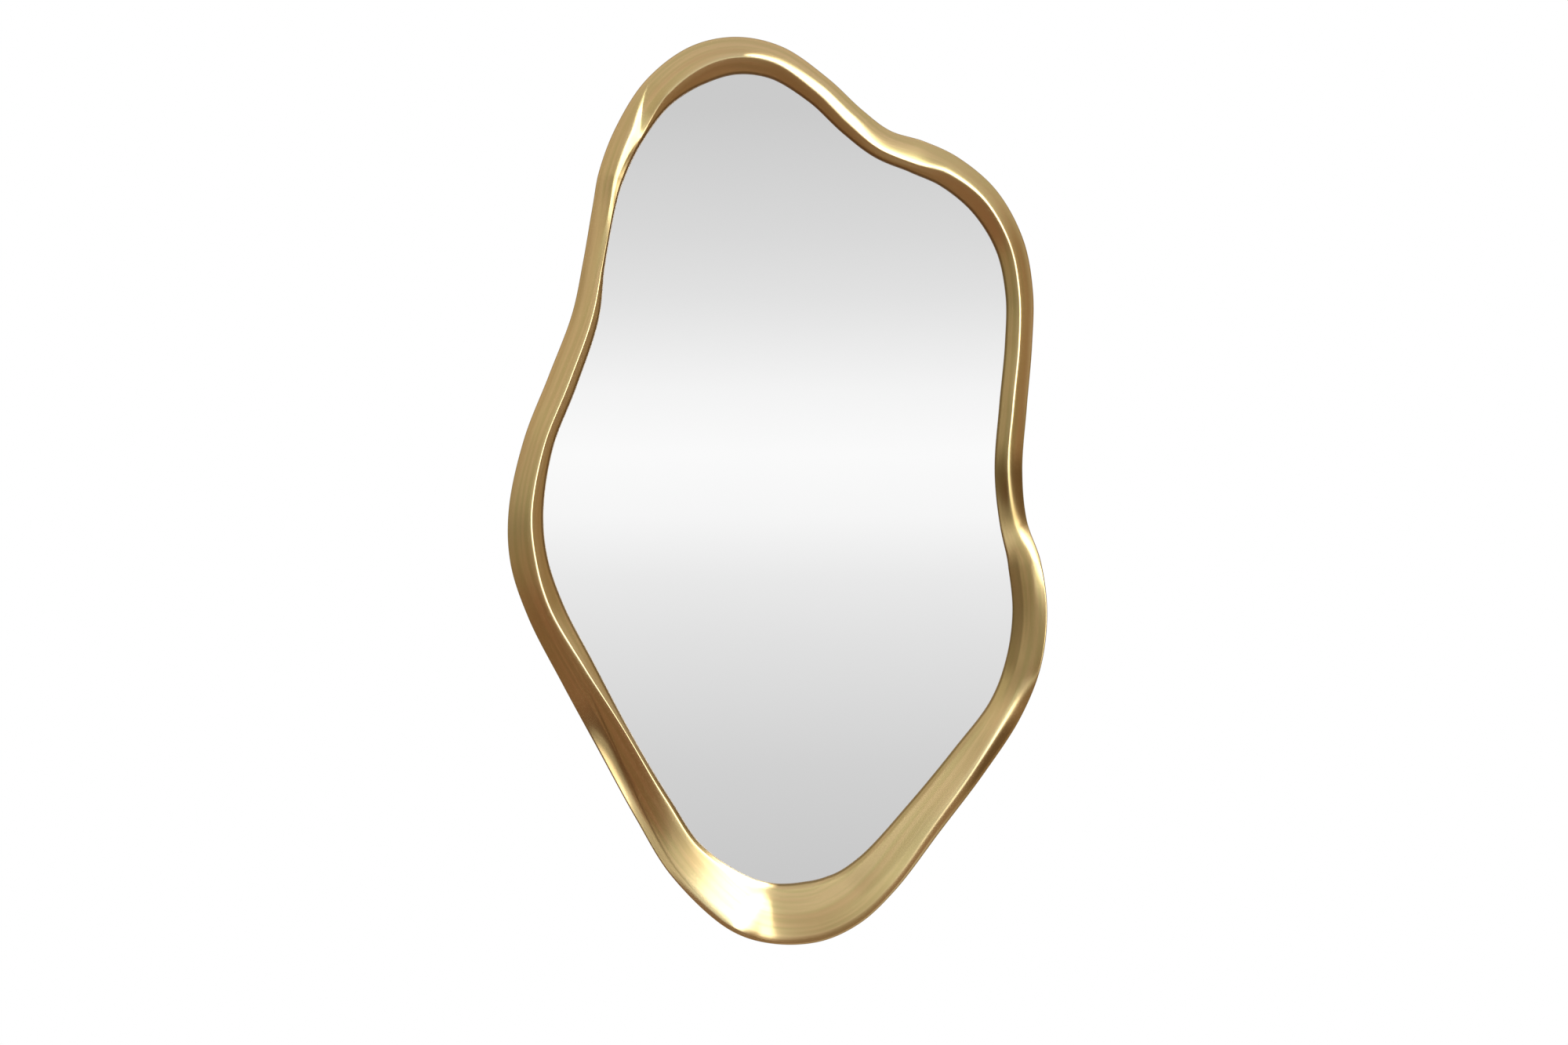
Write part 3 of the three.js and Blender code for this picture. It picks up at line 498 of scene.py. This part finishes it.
def make_antique_gold():
    """Stained brushed metal: painted shade in the hollows, painted highlight on the ridges."""
    material, tree, shader = new_material("antique_gold")
    along_band = read_value(tree, "along_band", "Vector")
    place = add_node(tree, "ShaderNodeTexCoord").outputs["Object"]
    bands = use_group(tree, brushing, {"Vector": along_band, "Length": 0.18, "Pitch": 0.005})
    clouds = use_group(tree, mottling, {"Vector": place, "Cloud": 0.05, "Speck": 0.0022})

    tone = blend_colour(tree, spread(tree, bands.outputs["Fine"], 0.35, 0.65),
                        paint(212, 195, 137), paint(227, 203, 149))
    stain = spread(tree, bands.outputs["Broad"], 0.5, 0.7, 0.0, 0.5)
    tone = blend_colour(tree, stain, tone, paint(204, 172, 120))
    blush = sum_up(tree, "MULTIPLY", clouds.outputs["Clouds"], 0.3)
    tone = blend_colour(tree, blush, tone, paint(222, 190, 140))
    # painted shade: the glass edge, outer arris, lower left crease and patches are darkened toward
    # brown
    shade_share = sum_up(tree, "MULTIPLY", read_value(tree, "painted_shade"), 0.75)
    tone = blend_colour(tree, shade_share, tone, paint(122, 98, 56))
    # painted highlight: the ridges and the flare are lightened toward pale gold
    highlight_share = sum_up(tree, "MULTIPLY", read_value(tree, "ridge_highlight"), 0.6)
    tone = blend_colour(tree, highlight_share, tone, paint(236, 220, 172))
    rough_cast = blend_colour(tree, clouds.outputs["Clouds"],
                              paint(178, 152, 100), paint(158, 132, 84))
    tone = blend_colour(tree, read_value(tree, "front"), rough_cast, tone)
    tree.links.new(tone, shader.inputs["Base Color"])
    shader.inputs["Metallic"].default_value = 1.0
    shader.inputs["Anisotropic"].default_value = 0.9
    tangent = add_node(tree, "ShaderNodeTangent", direction_type="UV_MAP", uv_map="brush_map")
    tree.links.new(tangent.outputs[0], shader.inputs["Tangent"])

    satin = spread(tree, bands.outputs["Broad"], 0.3, 0.7, 0.14, 0.16)
    matt = spread(tree, read_value(tree, "front"), 0, 1, 0.25, 0.0)
    tree.links.new(sum_up(tree, "ADD", satin, matt, clamp=True), shader.inputs["Roughness"])

    band_bump = add_node(tree, "ShaderNodeBump", {
        "Strength": 0.2, "Distance": 0.00015, "Height": bands.outputs["Fine"]})
    tree.links.new(band_bump.outputs[0], shader.inputs["Normal"])
    return material


band.data.materials.append(make_antique_gold())
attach(band, "mirror_body")
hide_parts("frame")


# ---------------------------------------------------------------- mirror plate
# Silvered float glass, cut to the loop's shape and clamped behind the lip. In front the silver
# shows through clear glass, the ground edge is sea green, and the back carries grey paint.

def make_silvered_glass():
    """Silver seen through glass in front, green at the ground edge, grey paint behind."""
    material, tree, shader = new_material("silvered_glass")
    place = add_node(tree, "ShaderNodeTexCoord").outputs["Object"]
    depth = add_node(tree, "ShaderNodeSeparateXYZ", {0: place}).outputs[1]
    front, back = (corner.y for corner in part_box("mirror_glass"))
    behind_face = spread(tree, depth, front + 0.00003, front + 0.0001)
    on_paint = spread(tree, depth, back - 0.00005, back - 0.00002)
    dust = use_group(tree, mottling, {"Vector": place, "Cloud": 0.18, "Speck": 0.004})
    silver = blend_colour(tree, sum_up(tree, "MULTIPLY", dust.outputs["Clouds"], 0.3),
                          (0.95, 0.95, 0.95, 1), (0.94, 0.94, 0.94, 1))
    edge_green = paint(110, 140, 128)
    tone = blend_colour(tree, behind_face, silver, edge_green)
    tone = blend_colour(tree, on_paint, tone, paint(96, 104, 108))
    tree.links.new(tone, shader.inputs["Base Color"])
    shader.inputs["Metallic"].default_value = 1.0
    film = spread(tree, dust.outputs["Clouds"], 0, 1, 0.004, 0.02)
    tree.links.new(sum_up(tree, "ADD", film, sum_up(tree, "MULTIPLY", behind_face, 0.35)),
                   shader.inputs["Roughness"])
    return material


nodes["mirror_glass"].data.materials.clear()
nodes["mirror_glass"].data.materials.append(make_silvered_glass())

# ---------------------------------------------------------------- glazing tape, foam and board
# Black closed-cell tape seals the plate to the lip, a white foam sheet presses it forward, and a
# brown hardboard panel with a screen-pressed back closes the loop. All three are cut from sheet.

def make_sheet(name, first, second, cloud, speck, speck_colour, pit):
    """Matt sheet of two close colours in clouds, with specks that are also shallow pits."""
    material, tree, shader = new_material(name)
    place = add_node(tree, "ShaderNodeTexCoord").outputs["Object"]
    marks = use_group(tree, mottling, {"Vector": place, "Cloud": cloud, "Speck": speck})
    tone = blend_colour(tree, marks.outputs["Clouds"], first, second)
    speckled = sum_up(tree, "MULTIPLY", marks.outputs["Specks"], 0.6)
    tree.links.new(blend_colour(tree, speckled, tone, speck_colour), shader.inputs["Base Color"])
    matt = spread(tree, marks.outputs["Clouds"], 0, 1, 0.8, 0.92)
    tree.links.new(matt, shader.inputs["Roughness"])
    unpitted = sum_up(tree, "SUBTRACT", 1.0, marks.outputs["Specks"])
    bump = add_node(tree, "ShaderNodeBump", {"Strength": 0.5, "Distance": pit, "Height": unpitted})
    tree.links.new(bump.outputs[0], shader.inputs["Normal"])
    return material, tree, shader, place, bump


def make_hardboard():
    """Pressed brown fibre: flecks in clouds, and the print of the press's wire screen."""
    material, tree, shader, place, bump = make_sheet(
        "hardboard", paint(150, 112, 76), paint(143, 106, 71), 0.06, 0.0012, paint(96, 66, 40),
        0.0002)
    parts = add_node(tree, "ShaderNodeSeparateXYZ", {0: place}).outputs
    wire_pitch = 0.0016
    wires = [sum_up(tree, "SINE", sum_up(tree, "MULTIPLY", parts[axis], 2 * np.pi / wire_pitch))
             for axis in (0, 2)]
    print_bump = add_node(tree, "ShaderNodeBump", {
        "Strength": 0.35, "Distance": 0.00015, "Height": sum_up(tree, "MULTIPLY", *wires),
        "Normal": bump.outputs[0]})
    tree.links.new(print_bump.outputs[0], shader.inputs["Normal"])
    return material


sheet_finishes = {
    "glazing_tape": make_sheet("black_tape", paint(44, 44, 46), paint(34, 34, 36), 0.01, 0.0005,
                               paint(20, 20, 22), 0.0001)[0],
    "foam_sheet": make_sheet("white_foam", paint(232, 232, 228), paint(220, 220, 214), 0.02, 0.001,
                             paint(190, 190, 184), 0.0003)[0],
    "backing_board": make_hardboard(),
}
for name, finish in sheet_finishes.items():
    nodes[name].data.materials.clear()
    nodes[name].data.materials.append(finish)


# ---------------------------------------------------------------- screws
# Bright zinc-plated pan-head wood screws with cross recesses: fourteen round the board, and two
# through each hanger strap into the cast pads. Turned and thread-rolled from wire.

head_height, head_radius, thread_radius, core_radius, thread_pitch = 1.8, 3.0, 1.4, 1.05, 1.1


def pan_head_screw(name, turned_by):
    """Screw about the Y axis, from its point forward to its head behind, in its node's box.

    The radius is a function of the way along the profile. A ridge of triangular section that
    climbs one pitch a turn is added on the shank, and two crossed slots are sunk in the head.
    """
    low, high = (np.array(corner) * 1000 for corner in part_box(name))
    middle, seat = (low + high) / 2, high[1] - head_height
    turn = np.linspace(0, 2 * np.pi, 48, endpoint=False)
    along = np.linspace(low[1], seat, 96)[:, None]
    taper = np.clip((along - low[1]) / (2 * thread_radius), 0, 1)
    climb = (along / thread_pitch + turn / (2 * np.pi)) % 1
    ridge = np.maximum(0, 1 - 1.6 * np.abs(2 * climb - 1)) * smoothstep(0.3, 1.3, seat - along)
    shank_radius = taper * (core_radius + (thread_radius - core_radius) * ridge)
    arc = np.linspace(0, np.pi / 2, 30)[:, None]
    crown_radius = head_radius * np.cos(arc) ** 0.8
    crown = seat + 0.5 + (head_height - 0.5) * np.sin(arc)
    side_x, side_z = (crown_radius * part(turn - turned_by) for part in (np.cos, np.sin))
    slots = [smoothstep(0.5, 0.3, np.abs(a)) * smoothstep(1.75, 1.35, np.abs(b))
             for a, b in ((side_x, side_z), (side_z, side_x))]
    crown = crown - np.maximum(*slots) * (1.3 - 0.45 * crown_radius)
    under_head = np.array([thread_radius, head_radius - 0.2, head_radius])[:, None]
    radius = np.concatenate([shank_radius, under_head + 0 * turn, crown_radius + 0 * turn])
    radius[0], radius[-1] = 0, 0
    under_depth = np.array([seat, seat, seat + 0.2])[:, None]
    depth = np.concatenate([along + 0 * turn, under_depth + 0 * turn, crown])
    depth[-1] = depth[-1].mean()
    points = np.stack([middle[0] + radius * np.cos(turn), depth,
                       middle[2] - radius * np.sin(turn)], axis=-1)
    return surface(f"{name}_turned", points / 1000, poles=True)


def make_plated_steel(name, light, dark, shine):
    """Zinc plate: pale cloudy grey, with fine rolling lines and duller specks."""
    material, tree, shader = new_material(name)
    place = add_node(tree, "ShaderNodeTexCoord").outputs["Object"]
    marks = use_group(tree, mottling, {"Vector": place, "Cloud": 0.004, "Speck": 0.0007})
    lines = use_group(tree, brushing, {"Vector": place, "Length": 0.006, "Pitch": 0.0003})
    tone = blend_colour(tree, marks.outputs["Clouds"], light, dark)
    specked = sum_up(tree, "MULTIPLY", marks.outputs["Specks"], 0.35)
    tone = blend_colour(tree, specked, tone, paint(120, 122, 126))
    tree.links.new(tone, shader.inputs["Base Color"])
    shader.inputs["Metallic"].default_value = 1.0
    dull = spread(tree, lines.outputs["Fine"], 0.3, 0.7, shine, shine + 0.14)
    tree.links.new(dull, shader.inputs["Roughness"])
    bump = add_node(tree, "ShaderNodeBump", {
        "Strength": 0.15, "Distance": 0.00004, "Height": lines.outputs["Fine"]})
    tree.links.new(bump.outputs[0], shader.inputs["Normal"])
    return material


bright_zinc = make_plated_steel("bright_zinc", paint(222, 224, 228), paint(196, 200, 206), 0.24)
screw_names = [name for name in nodes if name.startswith(("backing_screw_", "hanger_screw_"))]
for index, name in enumerate(sorted(screw_names)):
    screw = pan_head_screw(name, 0.7 * index)
    screw.data.materials.append(bright_zinc)
    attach(screw, "mirror_body")
    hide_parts(name)


# ---------------------------------------------------------------- hanging loops
# Steel straps, zinc plated, each with an eye rolled round the bar of a D-shaped wire ring. The
# ring swings up on its bar to take a wall hook, and each strap is held by two screws.

ring_wire, ring_half_width, ring_arm, ring_corner = 1.2, 10.0, 2.5, 2.5
hanger_zinc = make_plated_steel("hanger_zinc", paint(206, 208, 210), paint(184, 187, 192), 0.3)


def ring_path():
    """The D's middle line in its own plane: corner, arm, half circle, arm and corner."""
    def bend(centre, radius, start, end, count):
        turn = np.linspace(start, end, count)
        return np.array(centre) + radius * np.stack([np.cos(turn), np.sin(turn)], axis=-1)
    corner = ring_half_width - ring_corner
    return np.concatenate([
        bend((corner, -ring_corner), ring_corner, np.pi / 2, 0, 10),
        bend((0, -ring_corner - ring_arm), ring_half_width, 0, -np.pi, 48),
        bend((-corner, -ring_corner), ring_corner, np.pi, np.pi / 2, 10),
    ])


def wire_ring(name, hinge, across):
    """Round wire along the D: circles in the planes of its outward direction and the Y axis."""
    path = ring_path()
    forward = np.roll(path, -1, axis=0) - np.roll(path, 1, axis=0)
    forward /= np.linalg.norm(forward, axis=1, keepdims=True)
    outward = np.stack([-forward[:, 1], forward[:, 0]], axis=-1)
    turn = np.linspace(0, 2 * np.pi, 20, endpoint=False)
    flat = path[:, None] + ring_wire * outward[:, None] * np.cos(turn)[None, :, None]
    up = np.array([-across[2], 0, across[0]])
    offset = flat[..., :1] * across + flat[..., 1:] * up
    offset[..., 1] += ring_wire * np.sin(turn)
    return surface(name, np.array(hinge) + offset / 1000)


for joint in frame["joints"]:
    ring = wire_ring(joint["child"] + "_wire", joint["pos_m"], np.array(joint["axis"]))
    ring.data.materials.append(hanger_zinc)
    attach(ring, joint["child"])
    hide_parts("hanger_" + joint["child"])
for side in ("left", "right"):
    strap = nodes[f"hanger_strap_{side}"]
    strap.data.materials.clear()
    strap.data.materials.append(hanger_zinc)


# ---------------------------------------------------------------- wall bumpers
# Four stuck-on buttons of soft black rubber that keep the frame square to the wall and its edge
# clear of the paint. Moulded, with a coned flank, round edges and a slightly dished face.

def moulded_bumper(name):
    """Button about the Y axis: the wall face's radius is three quarters of the seat's."""
    low, high = (np.array(corner) * 1000 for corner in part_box(name))
    middle, tall = (low + high) / 2, high[1] - low[1]
    wide = (high[0] - low[0]) / 2
    narrow, fillet = 0.75 * wide, 0.6
    arc = np.linspace(0, np.pi / 2, 8)
    profile = np.concatenate([
        [[0, 0], [wide - 0.3, 0], [wide - 0.08, 0.08], [wide, 0.3], [wide, 0.42 * tall],
         [wide - 0.1, 0.5 * tall]],
        np.stack([narrow - fillet * (1 - np.cos(arc)), tall - fillet * (1 - np.sin(arc))],
                 axis=-1),
        [[0.6 * narrow, tall - 0.08], [0.3 * narrow, tall - 0.22], [0, tall - 0.25]],
    ])
    turn = np.linspace(0, 2 * np.pi, 48, endpoint=False)
    radius, depth = profile[:, :1] + 0 * turn, low[1] + profile[:, 1:] + 0 * turn
    points = np.stack([middle[0] + radius * np.cos(turn), depth,
                       middle[2] - radius * np.sin(turn)], axis=-1)
    return surface(f"{name}_moulded", points / 1000, poles=True)


black_rubber = make_sheet("black_rubber", paint(40, 40, 41), paint(30, 30, 32), 0.006, 0.0006,
                          paint(58, 58, 58), 0.00005)[0]
for corner in bumper_corners:
    bumper = moulded_bumper(f"bumper_{corner}")
    bumper.data.materials.append(black_rubber)
    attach(bumper, "mirror_body")
    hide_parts(f"bumper_{corner}")


# ---------------------------------------------------------------- studio
# A round pale floor below the mirror, out of the main picture, and a plain soft room whose
# panels are its lamps: a tall strip, a low wing beside it and a softbox above, to the right.

floor_radius, floor_level, floor_thickness = 1.9, -1.25, 0.01
turns = -np.linspace(0, 2 * np.pi, 96, endpoint=False)
outward = np.append(np.linspace(0, floor_radius - floor_thickness, 11), floor_radius)
radii = np.concatenate([outward, outward[::-1]])[:, None]
levels = floor_level - floor_thickness * (np.arange(len(radii)) >= len(outward))[:, None]
floor_points = np.stack(np.broadcast_arrays(
    radii * np.cos(turns), radii * np.sin(turns), levels), axis=-1)
floor = surface("floor", floor_points, poles=True)

world = bpy.data.worlds.new("studio")
bpy.context.scene.world = world
world.use_nodes = True
room = world.node_tree
room.nodes.clear()
degree = np.pi / 180
way = add_node(room, "ShaderNodeTexCoord").outputs["Generated"]
way_parts = add_node(room, "ShaderNodeSeparateXYZ", {0: way})
height = sum_up(room, "ARCSINE", way_parts.outputs[2])


def light_ramp(tree, angle, low, high, stops):
    """Brightness over an angle: stops are (degrees, brightness or its three colours)."""
    share = add_node(tree, "ShaderNodeMapRange", {
        "Value": angle, "From Min": low * degree, "From Max": high * degree})
    ramp = add_node(tree, "ShaderNodeValToRGB", {0: share.outputs[0]})
    elements = ramp.color_ramp.elements
    elements[0].position, elements[1].position = 0, 1
    for index, (at, brightness) in enumerate(stops):
        position = (at - low) / (high - low)
        if 0 < index < len(stops) - 1:
            element = elements.new(position)
        else:
            element = elements[0] if index == 0 else elements[-1]
        colour = brightness if isinstance(brightness, tuple) else (brightness,) * 3
        element.color = (*colour, 1)
    return ramp.outputs[0]


def light_panel(tree, bearing, height, sides, ends, soft):
    """Share of a soft-edged panel of the room between two bearings and two heights, in degrees."""
    share = 1.0
    for value, (start, end), (low_soft, high_soft) in zip((bearing, height), (sides, ends), soft):
        rising = spread(tree, value, (start - low_soft) * degree, start * degree)
        falling = spread(tree, value, end * degree, (end + high_soft) * degree, 1.0, 0.0)
        share = sum_up(tree, "MULTIPLY", share, sum_up(tree, "MULTIPLY", rising, falling))
    return share


to_viewer = sum_up(room, "MULTIPLY", way_parts.outputs[1], -1.0)
bearing = sum_up(room, "ARCTAN2", way_parts.outputs[0], to_viewer)

# in front the room is grey with a bright horizon, brightest one degree up: height, brightness
horizon = light_ramp(room, height, -15, 15, [
    (-15, 1.3), (-9, 1.1), (-7.3, 0.64), (-6, 0.6), (-3.9, 0.675), (-1.9, 0.79), (-0.9, 0.86),
    (0.1, 0.97), (1.1, 1.01), (2.1, 0.955), (3.6, 0.8), (4.6, 0.73), (6.6, 0.63), (15, 0.6),
])

# off to the sides it is warm and darker, pale overhead: turn from the right, anticlockwise, light
off_axis = sum_up(room, "ARCCOSINE", to_viewer)
around = sum_up(room, "ARCTAN2", way_parts.outputs[2], way_parts.outputs[0])
surround = light_ramp(room, around, -180, 180, [
    (-180, (0.34, 0.3, 0.24)), (-170, (0.33, 0.26, 0.19)), (-156, (0.27, 0.16, 0.11)),
    (-135, (0.26, 0.16, 0.11)), (-90, (0.29, 0.2, 0.15)), (-45, (0.33, 0.22, 0.16)),
    (0, (0.36, 0.26, 0.18)), (22, (0.38, 0.28, 0.2)), (38, (0.6, 0.54, 0.5)),
    (60, (0.66, 0.61, 0.62)), (90, (0.65, 0.61, 0.62)), (130, (0.68, 0.62, 0.6)),
    (158, (0.64, 0.57, 0.5)), (180, (0.34, 0.3, 0.24)),
])
behind = spread(room, off_axis, 82 * degree, 98 * degree, 0.0, 0.85)
surround = blend_colour(room, behind, surround, (0.62, 0.57, 0.52, 1))
in_front = [spread(room, sum_up(room, "ABSOLUTE", value), start * degree, end * degree, 1.0, 0.0)
            for value, start, end in ((bearing, 5, 11), (height, 8, 15))]
studio = blend_colour(room, sum_up(room, "MULTIPLY", *in_front), surround, horizon)

# the strip, the wing and the softbox: bearings, heights, how softly both end, and brightness
for sides, ends, soft, light in (
    ((8, 15), (-8, 31), ((3.6, 6), (5, 9)), 3.8),
    ((14, 24), (-4, 6), ((5, 5), (3, 5)), 3.8),
    ((7, 18), (12, 27), ((5, 8), (4.6, 9)), 5.6),
):
    panel = light_panel(room, bearing, height, sides, ends, soft)
    studio = blend_colour(room, panel, studio, (light, light, light, 1))

# metal and glass reflect the studio, everything else stands in plain white light
rays = add_node(room, "ShaderNodeLightPath")
seen = blend_colour(room, rays.outputs["Is Glossy Ray"], (1, 1, 1, 1), studio)
world.cycles.sampling_method = "NONE"  # lamps sampled for themselves would undo that split
background = add_node(room, "ShaderNodeBackground", {"Color": seen, "Strength": 1.0})
add_node(room, "ShaderNodeOutputWorld", {"Surface": background.outputs[0]})


def make_floor_paint():
    """Pale matt paint, very faintly clouded."""
    material, tree, shader = new_material("floor_paint")
    place = add_node(tree, "ShaderNodeTexCoord").outputs["Object"]
    marks = use_group(tree, mottling, {"Vector": place, "Cloud": 0.5, "Speck": 0.01})
    tone = blend_colour(tree, marks.outputs["Clouds"],
                        (0.86, 0.86, 0.855, 1), (0.84, 0.84, 0.84, 1))
    tree.links.new(tone, shader.inputs["Base Color"])
    shader.inputs["Roughness"].default_value = 0.8
    return material


floor.data.materials.append(make_floor_paint())
floor.visible_glossy = False

# square on to the mirror, from far enough for the photo's flat view
picture_middle = np.array([-0.0226, -0.02, -0.243])
camera_data = bpy.data.cameras.new("camera")
camera_data.sensor_width = 36
camera_distance, picture_width = 4.0, 1.7532
camera_data.lens = camera_data.sensor_width * camera_distance / picture_width
camera = bpy.data.objects.new("camera", camera_data)
bpy.context.scene.collection.objects.link(camera)
camera.location = picture_middle - np.array([0, camera_distance, 0])
camera.rotation_euler = (np.pi / 2, 0, 0)
bpy.context.scene.camera = camera
bpy.context.scene.view_settings.view_transform = "Standard"
